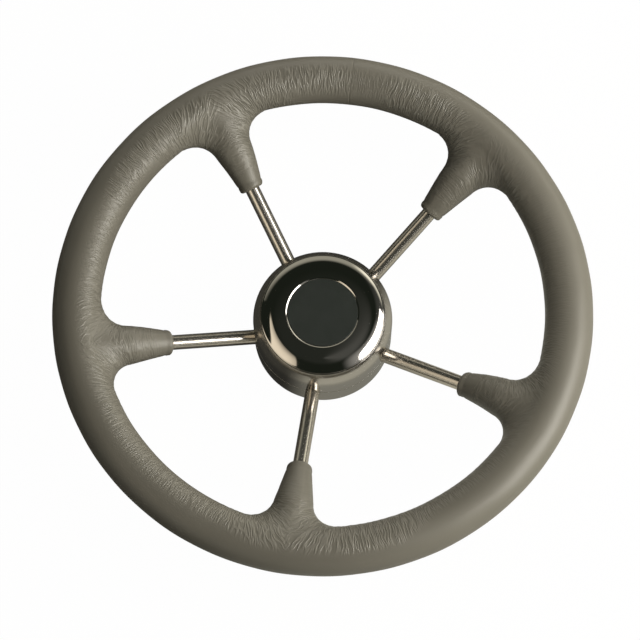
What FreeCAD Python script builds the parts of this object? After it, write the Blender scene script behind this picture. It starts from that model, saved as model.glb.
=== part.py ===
import FreeCAD, Part
import math
import os
import re
import Sketcher

# Boat steering wheel: a five-spoke stainless wheel with a moulded soft grip.
# Millimetres. +Z runs along the helm shaft towards the driver, z = 0 is the flat
# back of the hub, and the first spoke stands along +Y.

SIZES = {
    # rim
    "wheel_diameter": 343.0,
    "grip_diameter": 30.5,
    "dish": 58.5,
    "hoop_diameter": 16.0,
    "hoop_wall": 1.5,
    "mould_gap": 0.3,
    # spokes
    "spoke_count": 5,
    "spoke_diameter": 9.5,
    "weld_gap": 0.1,
    # sleeves of the grip, measured along the wheel's radius from the rim's centre line
    "sleeve_reach": 57.5,
    "sleeve_taper_end": 30.0,
    "sleeve_wall": 2.7,
    "sleeve_lip_radius": 2.2,
    "sleeve_root_inset": 2.4,
    "sleeve_blend_radius": 16.5,
    # hub: a back cup and a front ring, welded where the spokes go in
    "hub_diameter": 89.6,
    "hub_height": 46.7,
    "hub_seam_height": 20.8,
    "hub_wall": 2.0,
    "hub_floor": 2.5,
    "hub_back_radius": 2.0,
    "hub_shoulder_radius": 15.0,
    "hub_shoulder_width": 5.0,
    "hub_seam_chamfer": 0.3,
    # boss with its tapered bore, 1 in 12 on the diameter
    "boss_diameter": 38.0,
    "boss_spigot_diameter": 34.0,
    "boss_height": 30.0,
    "boss_chamfer": 1.0,
    "bore_diameter": 19.05,
    "bore_taper": 12.0,
    "keyway_width": 4.8,
    "keyway_depth": 2.3,
    # cap, which lies flush in a step round the front ring's opening
    "cap_gap": 0.2,
    "cap_step_width": 0.8,
    "cap_step_depth": 0.8,
    "cap_edge_radius": 0.2,
    "cap_sheet": 1.2,
    "cap_corner_radius": 18.8,
    "cap_corner_inset": 11.8,
    "cap_dome_radius": 250.0,
    "cap_skirt_gap": 0.3,
    "cap_skirt_depth": 7.5,
    "cap_recess_diameter": 45.4,
    "cap_recess_depth": 1.0,
    "cap_recess_radius": 0.5,
    "disc_gap": 0.3,
    "disc_thickness": 0.6,
    "disc_chamfer": 0.15,
    "ring_section": 2.6,
    "ring_seat": 0.6,
    "ring_gap": 0.1,
}

# Sizes that follow from the driving ones, as expressions.
RING_R = "(wheel_diameter / 2 - grip_diameter / 2)"
HUB_R = "(hub_diameter / 2)"
RAKE = f"atan2(dish - hub_seam_height; {RING_R} - {HUB_R})"
SPOKE_ROOT_Z = f"(hub_seam_height - {HUB_R} * tan({RAKE}))"
BORE_TOP_R = "(bore_diameter / 2 - boss_height / (2 * bore_taper))"
STEP_R = f"({HUB_R} - hub_shoulder_width)"
STEP_Z = "(hub_height - cap_step_depth)"
OPENING_R = f"({STEP_R} - cap_step_width)"
SHOULDER_X = f"({HUB_R} - hub_shoulder_radius)"
SHOULDER_Z = f"(hub_height - sqrt(hub_shoulder_radius ^ 2 - ({STEP_R} - {SHOULDER_X}) ^ 2))"
CAP_R = f"({STEP_R} - cap_gap)"
SKIRT_R = f"({OPENING_R} - cap_skirt_gap)"
CORNER_X = f"({CAP_R} - cap_corner_inset)"
CORNER_Z = "(hub_height - sqrt(cap_corner_radius ^ 2 - cap_corner_inset ^ 2))"
DOME_LESS_CORNER = "(cap_dome_radius - cap_corner_radius)"
DOME_Z = f"({CORNER_Z} - sqrt({DOME_LESS_CORNER} ^ 2 - {CORNER_X} ^ 2))"
RECESS_R = "(cap_recess_diameter / 2)"
RECESS_TOP = f"({DOME_Z} + sqrt(cap_dome_radius ^ 2 - {RECESS_R} ^ 2))"
RECESS_FLOOR = f"({RECESS_TOP} - cap_recess_depth)"
SEAL_R = f"({SKIRT_R} - ring_seat + ring_section / 2)"
SEAL_REACH = "(hub_shoulder_radius - hub_wall - ring_gap - ring_section / 2)"
SEAL_Z = f"({SHOULDER_Z} + sqrt({SEAL_REACH} ^ 2 - ({SEAL_R} - {SHOULDER_X}) ^ 2))"
SEAL_ROOM = "(ring_section / 2 + ring_gap / 2)"
SEAL_MOUTH = f"sqrt({SEAL_ROOM} ^ 2 - (ring_section / 2 - ring_seat) ^ 2)"

# How near two measured lengths lie where they are one and the same.
SAME = 0.01

doc = FreeCAD.newDocument("SteeringWheel")
sheet = doc.addObject("Spreadsheet::Sheet", "Sizes")
for row, (alias, size) in enumerate(SIZES.items(), start=1):
    sheet.set(f"A{row}", alias.replace("_", " "))
    sheet.set(f"B{row}", str(size))
    sheet.setAlias(f"B{row}", alias)
doc.recompute()


def cells(text):
    """The expression with each size's name turned into its cell of the sheet."""
    return re.sub(r"[a-z]+(?:_[a-z]+)+|dish", lambda word: "Sizes." + word.group(0), text)


def number(text):
    """What an expression comes to now, as a plain number."""
    worked = sheet.evalExpression(cells(str(text)))
    return float(getattr(worked, "Value", worked))


def new_body(name, turn=0.0):
    """An empty body, turned about the wheel's axis by that many degrees."""
    body = doc.addObject("PartDesign::Body", name)
    body.Label = name
    body.Placement = FreeCAD.Placement(
        FreeCAD.Vector(), FreeCAD.Rotation(FreeCAD.Vector(0, 0, 1), turn)
    )
    return body


def origin_part(body, role):
    return next(part for part in body.Origin.OriginFeatures if part.Role == role)


def new_sketch(body, name, plane="YZ_Plane", raked=False, height=None):
    """A sketch on one of the body's own planes.

    On the YZ plane its first axis is the wheel's radius and its second the wheel's
    axis. A raked sketch is turned in that plane so that its first axis is the line
    of the first spoke, measured from where that line meets the wheel's axis.
    """
    sketch = body.newObject("Sketcher::SketchObject", name)
    sketch.AttachmentSupport = [(origin_part(body, plane), "")]
    sketch.MapMode = "FlatFace"
    if raked:
        sketch.AttachmentOffset = FreeCAD.Placement(
            FreeCAD.Vector(0, number(SPOKE_ROOT_Z), 0),
            FreeCAD.Rotation(FreeCAD.Vector(0, 0, 1), number(RAKE)),
        )
        sketch.setExpression("AttachmentOffset.Base.y", cells(SPOKE_ROOT_Z))
        sketch.setExpression("AttachmentOffset.Rotation.Angle", cells(RAKE))
    if height:
        sketch.setExpression("AttachmentOffset.Base.z", cells(height))
    return sketch


def drive(sketch, constraint, text):
    """Adds a dimension and binds it to its expression."""
    index = sketch.addConstraint(constraint)
    sketch.setExpression(f"Constraints[{index}]", cells(text))


def pin(sketch, line, end, across, up):
    """Fixes a line's or an arc's end at two expressions, or on an axis for a 0."""
    if across == "0":
        sketch.addConstraint(Sketcher.Constraint("PointOnObject", line, end, -2))
    else:
        there = Sketcher.Constraint("DistanceX", -1, 1, line, end, number(across))
        drive(sketch, there, across)
    if up == "0":
        sketch.addConstraint(Sketcher.Constraint("PointOnObject", line, end, -1))
    else:
        there = Sketcher.Constraint("DistanceY", -1, 1, line, end, number(up))
        drive(sketch, there, up)


def outline(sketch, *corners):
    """Joins corners (across, up) in order and closes the loop.

    A third entry is the radius of the arc that runs from that corner to the next,
    bulging to the left of that way, or to the right where it starts with a minus.
    """
    spots = [FreeCAD.Vector(number(c[0]), number(c[1]), 0) for c in corners]
    ends = []
    for corner, start, stop in zip(corners, spots, spots[1:] + spots[:1]):
        if len(corner) == 2:
            line = sketch.addGeometry(Part.LineSegment(start, stop))
            ends.append((line, 1, 2))
            continue
        bulge_right = corner[2].startswith("-")
        radius = number(corner[2].lstrip("-"))
        chord = stop - start
        left = FreeCAD.Vector(-chord.y, chord.x, 0).normalize()
        side = -1 if bulge_right else 1
        middle = (start + stop) * 0.5
        height = (radius**2 - (chord.Length / 2) ** 2) ** 0.5
        centre = middle - left * side * height
        crown = centre + left * side * radius
        arc = sketch.addGeometry(Part.Arc(start, crown, stop))
        ends.append((arc, 1, 2) if bulge_right else (arc, 2, 1))
    for index, (line, first, last) in enumerate(ends):
        following, next_first, _ = ends[(index + 1) % len(ends)]
        joined = Sketcher.Constraint("Coincident", line, last, following, next_first)
        sketch.addConstraint(joined)
        pin(sketch, line, first, corners[index][0], corners[index][1])
        if len(corners[index]) == 3:
            text = corners[index][2].lstrip("-")
            drive(sketch, Sketcher.Constraint("Radius", line, number(text)), text)


def circle(sketch, across, up, radius):
    spot = FreeCAD.Vector(number(across), number(up), 0)
    upward = FreeCAD.Vector(0, 0, 1)
    ring = sketch.addGeometry(Part.Circle(spot, upward, number(radius)))
    pin(sketch, ring, 3, across, up)
    drive(sketch, Sketcher.Constraint("Radius", ring, number(radius)), radius)


def turn_profile(body, sketch, name, about="V_Axis", cut=False, angle="360"):
    """Adds or cuts the turn of a sketch about one of its own axes, half to each side."""
    kind = "PartDesign::Groove" if cut else "PartDesign::Revolution"
    feature = body.newObject(kind, name)
    feature.Profile = sketch
    feature.ReferenceAxis = (sketch, [about])
    feature.setExpression("Angle", cells(angle))
    feature.Midplane = angle != "360"
    doc.recompute()
    return feature


def round_ring(body, name, radius, height, section):
    """Adds a round ring about the wheel's axis, with its seams off the spokes."""
    ring = body.newObject("PartDesign::AdditiveTorus", name)
    ring.setExpression("Radius1", cells(radius))
    ring.setExpression("Radius2", cells(section))
    ring.setExpression("Placement.Base.z", cells(height))
    doc.recompute()
    return ring


def repeat_at_spokes(body, feature, name):
    """Repeats a feature at every spoke."""
    pattern = body.newObject("PartDesign::PolarPattern", name)
    pattern.Originals = [feature]
    pattern.Axis = (origin_part(body, "Z_Axis"), [""])
    pattern.Angle = 360
    pattern.setExpression("Occurrences", cells("spoke_count"))
    body.Tip = pattern
    doc.recompute()
    return pattern


def dress(body, kind, name, size, wanted):
    """Rounds or chamfers the edges of the body that pass the test `wanted`."""
    base = body.Tip
    names = [f"Edge{i}" for i, edge in enumerate(base.Shape.Edges, start=1) if wanted(edge)]
    if not names:
        raise ValueError(f"{body.Label}: {name} found no edge")
    feature = body.newObject(f"PartDesign::{kind}", name)
    feature.Base = (base, names)
    prop = "Radius" if kind == "Fillet" else "Size"
    feature.setExpression(prop, cells(size))
    doc.recompute()
    return feature


def at_circle(radius, height):
    """A test for the round edges about the wheel's axis with that radius and height."""
    want_r, want_z = number(radius), number(height)

    def wanted(edge):
        box = edge.BoundBox
        flat = abs(box.ZMax - want_z) < SAME and abs(box.ZMin - want_z) < SAME
        spot = edge.valueAt(edge.FirstParameter)
        round_about = abs((spot.x**2 + spot.y**2) ** 0.5 - want_r) < SAME
        return flat and round_about and isinstance(edge.Curve, Part.Circle)

    return wanted


def along(radius):
    """The distance along a spoke's line at which it reaches a radius of the wheel."""
    return f"({radius}) / cos({RAKE})"


def off_rim_line(spot):
    """How far a point lies from the rim's centre line."""
    radius = (spot.x**2 + spot.y**2) ** 0.5
    return ((radius - number(RING_R)) ** 2 + (spot.z - number("dish")) ** 2) ** 0.5


# The grip: one moulding of soft foam round the hoop, with a sleeve down each spoke.
# Each sleeve tapers to a rounded lip and runs into the rim in a wide blend.
def make_grip():
    body = new_body("rim_grip")
    round_ring(body, "grip_ring", RING_R, "dish", "grip_diameter / 2")

    lip_r = "(spoke_diameter / 2 + sleeve_wall)"
    root_r = "(grip_diameter / 2 - sleeve_root_inset)"
    tip_at = along(f"{RING_R} - sleeve_reach")
    taper_at = along(f"{RING_R} - sleeve_taper_end")
    rim_at = along(RING_R)
    profile = new_sketch(body, "sleeve_profile", raked=True)
    outline(
        profile,
        (tip_at, "0"),
        (rim_at, "0"),
        (rim_at, root_r),
        (taper_at, root_r),
        (tip_at, lip_r),
    )
    sleeve = turn_profile(body, profile, "sleeve", about="H_Axis")
    repeat_at_spokes(body, sleeve, "sleeves")

    grip_r = number("grip_diameter / 2")
    tip_r = number(f"{RING_R} - sleeve_reach")
    inner_r = number(f"{RING_R} - sleeve_taper_end")

    def at_rim(edge):
        spot = edge.valueAt((edge.FirstParameter + edge.LastParameter) / 2)
        radius = (spot.x**2 + spot.y**2) ** 0.5
        on_skin = abs(off_rim_line(spot) - grip_r) < SAME
        return on_skin and inner_r < radius < number(RING_R)

    dress(body, "Fillet", "sleeve_blends", "sleeve_blend_radius", at_rim)

    def at_lip(edge):
        spot = edge.CenterOfMass
        radius = (spot.x**2 + spot.y**2) ** 0.5
        whole = abs(edge.Length - 2 * math.pi * number(lip_r)) < SAME
        return whole and abs(radius - tip_r) < SAME

    dress(body, "Fillet", "sleeve_lips", "sleeve_lip_radius", at_lip)

    spoke_room = new_sketch(body, "spoke_room", raked=True)
    rod_r = "(spoke_diameter / 2 + mould_gap)"
    before_tip = along(f"{RING_R} - sleeve_reach - sleeve_wall")
    outline(
        spoke_room,
        (before_tip, "0"),
        (rim_at, "0"),
        (rim_at, rod_r),
        (before_tip, rod_r),
    )
    room = turn_profile(body, spoke_room, "room_for_spoke", about="H_Axis", cut=True)
    repeat_at_spokes(body, room, "rooms_for_spokes")
    hoop_room = new_sketch(body, "hoop_room")
    circle(hoop_room, RING_R, "dish", "hoop_diameter / 2 + mould_gap")
    spoke_share = "360 / spoke_count"
    bend = turn_profile(body, hoop_room, "room_for_hoop", cut=True, angle=spoke_share)
    bend.Refine = False
    repeat_at_spokes(body, bend, "rooms_for_hoop")
    return body


# The hoop: a stainless tube bent into a ring and welded shut, inside the grip.
def make_hoop():
    body = new_body("rim_hoop")
    section = new_sketch(body, "hoop_section")
    circle(section, RING_R, "dish", "hoop_diameter / 2")
    circle(section, RING_R, "dish", "hoop_diameter / 2 - hoop_wall")
    turn_profile(body, section, "hoop_tube")
    return body


# A spoke: a solid stainless rod through the hub's wall, coped and welded to the
# boss at one end and to the hoop at the other.
def make_spoke(number_of):
    turn = 360.0 * (number_of - 1) / number("spoke_count")
    body = new_body(f"spoke_{number_of}", turn)
    rod = new_sketch(body, f"rod_profile_{number_of}", raked=True)
    start = along("boss_diameter / 2 - spoke_diameter / 2")
    outline(
        rod,
        (start, "0"),
        (along(RING_R), "0"),
        (along(RING_R), "spoke_diameter / 2"),
        (start, "spoke_diameter / 2"),
    )
    turn_profile(body, rod, f"rod_{number_of}", about="H_Axis")
    cope = new_sketch(body, f"boss_cope_{number_of}")
    boss_side = "boss_diameter / 2 + weld_gap"
    outline(
        cope,
        ("0", "0"),
        (boss_side, "0"),
        (boss_side, "boss_height"),
        ("0", "boss_height"),
    )
    turn_profile(body, cope, f"cope_at_boss_{number_of}", cut=True)
    saddle = new_sketch(body, f"hoop_cope_{number_of}")
    circle(saddle, RING_R, "dish", "hoop_diameter / 2 + weld_gap")
    turn_profile(body, saddle, f"cope_at_hoop_{number_of}", cut=True)
    return body


def cut_spoke_holes(body):
    """Cuts the round holes in the hub's wall that the spokes pass through."""
    inside = along(f"{HUB_R} - 3 * hub_wall")
    outside = along(f"{HUB_R} + 3 * hub_wall")
    hole_r = "(spoke_diameter / 2 + weld_gap)"
    profile = new_sketch(body, body.Label + "_hole_profile", raked=True)
    outline(profile, (inside, "0"), (outside, "0"), (outside, hole_r), (inside, hole_r))
    before = body.Shape.Volume
    hole = turn_profile(body, profile, body.Label + "_hole", about="H_Axis", cut=True)
    repeat_at_spokes(body, hole, body.Label + "_holes")
    if body.Shape.Volume >= before:
        raise ValueError(f"{body.Label}: the spoke holes cut nothing")


# The back half of the hub: a pressed stainless cup whose floor fits round the boss.
def make_back_cup():
    body = new_body("hub_back_cup")
    section = new_sketch(body, "cup_section")
    spigot_side = "(boss_spigot_diameter / 2 + weld_gap)"
    inner = f"({HUB_R} - hub_wall)"
    outline(
        section,
        (spigot_side, "0"),
        (HUB_R, "0"),
        (HUB_R, "hub_seam_height"),
        (inner, "hub_seam_height"),
        (inner, "hub_floor"),
        (spigot_side, "hub_floor"),
    )
    turn_profile(body, section, "cup")
    dress(body, "Fillet", "cup_back_edge", "hub_back_radius", at_circle(HUB_R, "0"))
    at_seam = at_circle(HUB_R, "hub_seam_height")
    dress(body, "Chamfer", "cup_seam_edge", "hub_seam_chamfer", at_seam)
    cut_spoke_holes(body)
    return body


# The front half of the hub: a pressed ring that turns in over a full round shoulder
# to a stepped opening for the cap.
def make_front_ring():
    body = new_body("hub_front_ring")
    section = new_sketch(body, "ring_profile")
    inner = f"({HUB_R} - hub_wall)"
    inside_radius = "(hub_shoulder_radius - hub_wall)"
    under = f"({SHOULDER_Z} + sqrt({inside_radius} ^ 2 - ({OPENING_R} - {SHOULDER_X}) ^ 2))"
    outline(
        section,
        (inner, "hub_seam_height"),
        (HUB_R, "hub_seam_height"),
        (HUB_R, SHOULDER_Z, "-hub_shoulder_radius"),
        (STEP_R, "hub_height"),
        (STEP_R, STEP_Z),
        (OPENING_R, STEP_Z),
        (OPENING_R, under, inside_radius),
        (inner, SHOULDER_Z),
    )
    turn_profile(body, section, "front_wall")
    step_edge = at_circle(STEP_R, "hub_height")
    dress(body, "Fillet", "front_step_edge", "cap_edge_radius", step_edge)
    at_seam = at_circle(HUB_R, "hub_seam_height")
    dress(body, "Chamfer", "front_seam_edge", "hub_seam_chamfer", at_seam)
    cut_spoke_holes(body)
    return body


# The boss: turned from bar, with a spigot through the cup's floor, a bore that
# narrows towards the driver and a keyway in line with the first spoke.
def make_boss():
    body = new_body("hub_boss")
    section = new_sketch(body, "boss_section")
    outline(
        section,
        ("bore_diameter / 2", "0"),
        ("boss_spigot_diameter / 2", "0"),
        ("boss_spigot_diameter / 2", "hub_floor"),
        ("boss_diameter / 2", "hub_floor"),
        ("boss_diameter / 2", "boss_height"),
        (BORE_TOP_R, "boss_height"),
    )
    turn_profile(body, section, "boss_turned")
    top_edge = at_circle("boss_diameter / 2", "boss_height")
    dress(body, "Chamfer", "boss_top_edge", "boss_chamfer", top_edge)

    slot = new_sketch(body, "keyway_slot", plane="XY_Plane")
    half, deep = "keyway_width / 2", "bore_diameter / 2 + keyway_depth"
    outline(slot, (half, "0"), (half, deep), (f"-({half})", deep), (f"-({half})", "0"))
    before = body.Shape.Volume
    keyway = body.newObject("PartDesign::Pocket", "keyway")
    keyway.Profile = slot
    keyway.Type = "ThroughAll"
    keyway.Reversed = True
    doc.recompute()
    if body.Shape.Volume >= before:
        raise ValueError("the keyway cut nothing")
    return body


# The cap: a polished stainless pressing, flush in the front ring's step, with a grooved
# skirt that goes down inside the ring and a round recess in the middle.
def make_cap():
    body = new_body("cap_cover")
    tangent = f"cap_dome_radius / {DOME_LESS_CORNER}"
    under_tangent = f"(cap_dome_radius - cap_sheet) / {DOME_LESS_CORNER}"
    skirt_in = f"({SKIRT_R} - cap_sheet)"
    skirt_end = "(hub_height - cap_skirt_depth)"
    corner_in = "(cap_corner_radius - cap_sheet)"
    corner_end = f"({CORNER_Z} + sqrt({corner_in} ^ 2 - ({skirt_in} - {CORNER_X}) ^ 2))"
    recess_in = f"({RECESS_R} + cap_sheet)"
    dome_in = "(cap_dome_radius - cap_sheet)"
    recess_in_z = f"({DOME_Z} + sqrt({dome_in} ^ 2 - {recess_in} ^ 2))"
    section = new_sketch(body, "cap_section")
    outline(
        section,
        ("0", f"{RECESS_FLOOR} - cap_sheet"),
        (recess_in, f"{RECESS_FLOOR} - cap_sheet"),
        (recess_in, recess_in_z, dome_in),
        (
            f"{CORNER_X} * {under_tangent}",
            f"{DOME_Z} + ({CORNER_Z} - {DOME_Z}) * {under_tangent}",
            corner_in,
        ),
        (skirt_in, corner_end),
        (skirt_in, skirt_end),
        (SKIRT_R, skirt_end),
        (SKIRT_R, f"{SEAL_Z} - {SEAL_MOUTH}", SEAL_ROOM),
        (SKIRT_R, f"{SEAL_Z} + {SEAL_MOUTH}"),
        (SKIRT_R, STEP_Z),
        (CAP_R, STEP_Z),
        (CAP_R, "hub_height", "-cap_corner_radius"),
        (
            f"{CORNER_X} * {tangent}",
            f"{DOME_Z} + ({CORNER_Z} - {DOME_Z}) * {tangent}",
            "-cap_dome_radius",
        ),
        (RECESS_R, RECESS_TOP),
        (RECESS_R, RECESS_FLOOR),
        ("0", RECESS_FLOOR),
    )
    turn_profile(body, section, "cap_pressing")
    recess_edge = at_circle(RECESS_R, RECESS_TOP)
    dress(body, "Fillet", "recess_edge", "cap_recess_radius", recess_edge)
    outer_edge = at_circle(CAP_R, "hub_height")
    dress(body, "Fillet", "cap_outer_edge", "cap_edge_radius", outer_edge)
    return body


# The disc: a thin blank plate glued in the cap's recess.
def make_disc():
    body = new_body("cap_disc")
    face = new_sketch(body, "disc_face", plane="XY_Plane", height=RECESS_FLOOR)
    disc_r = f"({RECESS_R} - disc_gap)"
    circle(face, "0", "0", disc_r)
    plate = body.newObject("PartDesign::Pad", "disc_plate")
    plate.Profile = face
    plate.setExpression("Length", cells("disc_thickness"))
    doc.recompute()
    rim = at_circle(disc_r, f"{RECESS_FLOOR} + disc_thickness")
    dress(body, "Chamfer", "disc_edge", "disc_chamfer", rim)
    return body


# The seal: a rubber ring in the skirt's groove that snaps in behind the front ring.
def make_seal():
    seal = doc.addObject("Part::Torus", "cap_seal")
    seal.Label = "cap_seal"
    seal.setExpression("Radius1", cells(SEAL_R))
    seal.setExpression("Radius2", cells("ring_section / 2"))
    seal.setExpression("Placement.Base.z", cells(SEAL_Z))
    doc.recompute()
    return seal


pieces = [make_grip(), make_hoop()]
pieces += [make_spoke(n) for n in range(1, int(SIZES["spoke_count"]) + 1)]
pieces += [make_back_cup(), make_front_ring(), make_boss()]
pieces += [make_cap(), make_disc(), make_seal()]
doc.recompute()

for thing in doc.Objects:
    if "Invalid" in thing.State or "Error" in thing.State:
        raise RuntimeError(f"{thing.Label} did not rebuild: {thing.State}")
for piece in pieces:
    shape = piece.Shape
    if shape.isNull() or not shape.isValid() or len(shape.Solids) != 1:
        raise RuntimeError(f"{piece.Label} is not one good solid")

os.makedirs("parts", exist_ok=True)
for piece in pieces:
    piece.Shape.exportStep(f"parts/{piece.Label}.step")
    box = piece.Shape.BoundBox
    volume = piece.Shape.Volume / 1000.0
    print(f"{piece.Label}: {volume:.2f} cm3, z {box.ZMin:.2f} to {box.ZMax:.2f}")
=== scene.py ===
import math

import bpy
import numpy as np
from mathutils import Matrix, Vector


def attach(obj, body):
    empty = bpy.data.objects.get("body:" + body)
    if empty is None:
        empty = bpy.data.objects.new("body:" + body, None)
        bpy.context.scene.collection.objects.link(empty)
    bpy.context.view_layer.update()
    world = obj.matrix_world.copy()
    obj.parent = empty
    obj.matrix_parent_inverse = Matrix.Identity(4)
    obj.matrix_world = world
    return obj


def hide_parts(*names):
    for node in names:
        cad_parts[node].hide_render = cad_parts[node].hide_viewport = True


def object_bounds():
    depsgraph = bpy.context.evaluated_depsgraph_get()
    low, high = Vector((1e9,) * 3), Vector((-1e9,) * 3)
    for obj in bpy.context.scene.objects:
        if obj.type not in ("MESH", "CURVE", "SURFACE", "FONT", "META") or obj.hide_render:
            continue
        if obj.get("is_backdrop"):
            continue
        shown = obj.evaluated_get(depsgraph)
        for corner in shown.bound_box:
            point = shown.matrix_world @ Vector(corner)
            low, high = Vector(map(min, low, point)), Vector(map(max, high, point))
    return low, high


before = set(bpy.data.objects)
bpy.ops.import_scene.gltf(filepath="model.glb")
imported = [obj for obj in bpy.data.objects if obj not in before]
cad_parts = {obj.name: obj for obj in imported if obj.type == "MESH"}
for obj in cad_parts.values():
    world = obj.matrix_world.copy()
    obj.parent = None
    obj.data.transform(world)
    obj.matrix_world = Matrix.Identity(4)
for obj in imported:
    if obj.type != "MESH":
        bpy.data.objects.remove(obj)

packed_box = [list(corner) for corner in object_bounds()]


# The boss: a steel bar turned to a spigot and a tapered bore, which carries the whole
# wheel on the helm shaft. Only its back end and its bore can be seen, and they keep the
# fine rings that the lathe left.
MM = 0.001


class Flow:
    """One output of a shader node. Sums on it add Math nodes to the same tree."""

    def __init__(self, nodes, socket):
        self.nodes = nodes
        self.socket = socket

    def __add__(self, other):
        return self.nodes.sum_of("ADD", self, other)

    def __sub__(self, other):
        return self.nodes.sum_of("SUBTRACT", self, other)

    def __rsub__(self, other):
        return self.nodes.sum_of("SUBTRACT", other, self)

    def __mul__(self, other):
        return self.nodes.sum_of("MULTIPLY", self, other)

    def __truediv__(self, other):
        return self.nodes.sum_of("DIVIDE", self, other)

    def __pow__(self, other):
        return self.nodes.sum_of("POWER", self, other)

    def __abs__(self):
        return self.nodes.sum_of("ABSOLUTE", self)

    def __round__(self):
        return self.nodes.sum_of("ROUND", self)

    __radd__ = __add__
    __rmul__ = __mul__


class Nodes:
    """A tree of shader nodes."""

    def __init__(self, tree):
        self.tree = tree

    def node(self, kind, settings=None, output=0, **values):
        """Any node: its settings first, then its sockets by name, or by place as s0, s1."""
        made = self.tree.nodes.new("ShaderNode" + kind)
        for setting, value in (settings or {}).items():
            setattr(made, setting, value)
        for socket, value in values.items():
            by_place = socket[0] == "s" and socket[1:].isdigit()
            key = int(socket[1:]) if by_place else socket.replace("_", " ")
            if isinstance(value, Flow):
                self.tree.links.new(value.socket, made.inputs[key])
            else:
                made.inputs[key].default_value = value
        return Flow(self, made.outputs[output])

    def sum_of(self, operation, *terms):
        """A Math node. Its terms are flows or numbers."""
        named = {f"s{place}": term for place, term in enumerate(terms)}
        return self.node("Math", {"operation": operation}, **named)

    def between(self, value, low, high, at_low=0.0, at_high=1.0):
        """Runs smoothly from one value to another as the first goes from low to high."""
        return self.node(
            "MapRange", {"interpolation_type": "SMOOTHSTEP"},
            s0=value, s1=low, s2=high, s3=at_low, s4=at_high,
        )

    def parts(self, vector):
        """The three numbers of a vector."""
        return [self.node("SeparateXYZ", output=axis, s0=vector) for axis in "XYZ"]

    def place(self):
        """The point on the piece, as its three distances in metres."""
        return self.parts(self.node("TexCoord", output="Object"))

    def grain(self, per_metre, x, y, z, detail=2.0):
        """Smooth noise from 0 to 1 at that point, with that many waves a metre."""
        spot = self.node("CombineXYZ", s0=x, s1=y, s2=z)
        return self.node(
            "TexNoise", {"noise_dimensions": "3D"},
            Vector=spot, Scale=per_metre, Detail=detail,
        )

    def tint(self, share, colour_a, colour_b):
        """A colour that runs from the first to the second as the share goes from 0 to 1."""
        ends = [
            colour if isinstance(colour, Flow) else (*colour, 1.0)
            for colour in (colour_a, colour_b)
        ]
        return self.node(
            "Mix", {"data_type": "RGBA"}, output=2, s0=share, s6=ends[0], s7=ends[1]
        )


class Finish(Nodes):
    """A material. What is the same all over it sits on the shader's own sockets."""

    def __init__(self, name, colour, **fixed):
        self.material = bpy.data.materials.new(name)
        self.material.use_nodes = True
        self.material.diffuse_color = (*colour, 1.0)
        super().__init__(self.material.node_tree)
        self.shader = self.tree.nodes["Principled BSDF"]
        self.shader.inputs["Base Color"].default_value = (*colour, 1.0)
        for socket, value in fixed.items():
            self.shader.inputs[socket.replace("_", " ")].default_value = value

    def feed(self, **flows):
        """Links flows to the shader's sockets by name."""
        for socket, flow in flows.items():
            self.tree.links.new(flow.socket, self.shader.inputs[socket.replace("_", " ")])

    def relief(self, height, depth):
        """A bump of that depth in metres, fed to the shader's normal."""
        bump = self.node("Bump", Strength=1.0, Distance=depth, Height=height)
        self.feed(Normal=bump)


def finish_node(name, finish):
    """Gives a CAD node that finish."""
    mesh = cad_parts[name].data
    mesh.materials.clear()
    mesh.materials.append(finish.material)


TURNED_GREY = (0.46, 0.445, 0.415)
TURNED_DARK = (0.33, 0.32, 0.30)
LATHE_RINGS_A_METRE = 5200.0
LATHE_RING_DEPTH = 0.03 * MM
STAINS_A_METRE = 70.0
turned_steel = Finish("turned_steel", TURNED_GREY, Metallic=1.0)
x, y, z = turned_steel.place()
from_axis = (x * x + y * y) ** 0.5
lathe_rings = turned_steel.grain(LATHE_RINGS_A_METRE, from_axis, z, 0.0)
stains = turned_steel.grain(STAINS_A_METRE, x, y, z, detail=4.0)
turned_steel.feed(
    Base_Color=turned_steel.tint(
        turned_steel.between(stains, 0.35, 0.75), TURNED_GREY, TURNED_DARK
    ),
    Roughness=0.26 + lathe_rings * 0.12 + stains * 0.08,
)
turned_steel.relief(lathe_rings, LATHE_RING_DEPTH)
finish_node("hub_boss", turned_steel)


# The hoop: a stainless tube bent into a ring, inside the grip. It is as it came from
# the bender, with the mill's dull skin and a blued patch by each spoke's weld.
SPOKES = 5
SPOKE_TURN = math.tau / SPOKES
FIRST_SPOKE = math.tau / 4


def past_spoke(finish, x, y):
    """How far round a point lies from the nearest spoke's line: its angle in steps from
    spoke to spoke, less the nearest whole number."""
    turns = (finish.sum_of("ARCTAN2", y, x) - FIRST_SPOKE) / SPOKE_TURN
    return turns - round(turns)


MILL_GREY = (0.42, 0.41, 0.39)
BLUED = (0.24, 0.21, 0.22)
BLUED_CORE, BLUED_EDGE = 0.02, 0.045
SCALE_MARKS_A_METRE = 160.0
SCALE_DEPTH = 0.04 * MM
mill_steel = Finish("mill_steel", MILL_GREY, Metallic=1.0)
x, y, z = mill_steel.place()
off_spoke = abs(past_spoke(mill_steel, x, y))
scale_marks = mill_steel.grain(SCALE_MARKS_A_METRE, x, y, z, detail=3.0)
blued = mill_steel.between(off_spoke + scale_marks * 0.03, BLUED_EDGE, BLUED_CORE)
mill_steel.feed(
    Base_Color=mill_steel.tint(blued, MILL_GREY, BLUED),
    Roughness=0.32 + scale_marks * 0.16,
)
mill_steel.relief(scale_marks, SCALE_DEPTH)
finish_node("rim_hoop", mill_steel)


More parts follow.
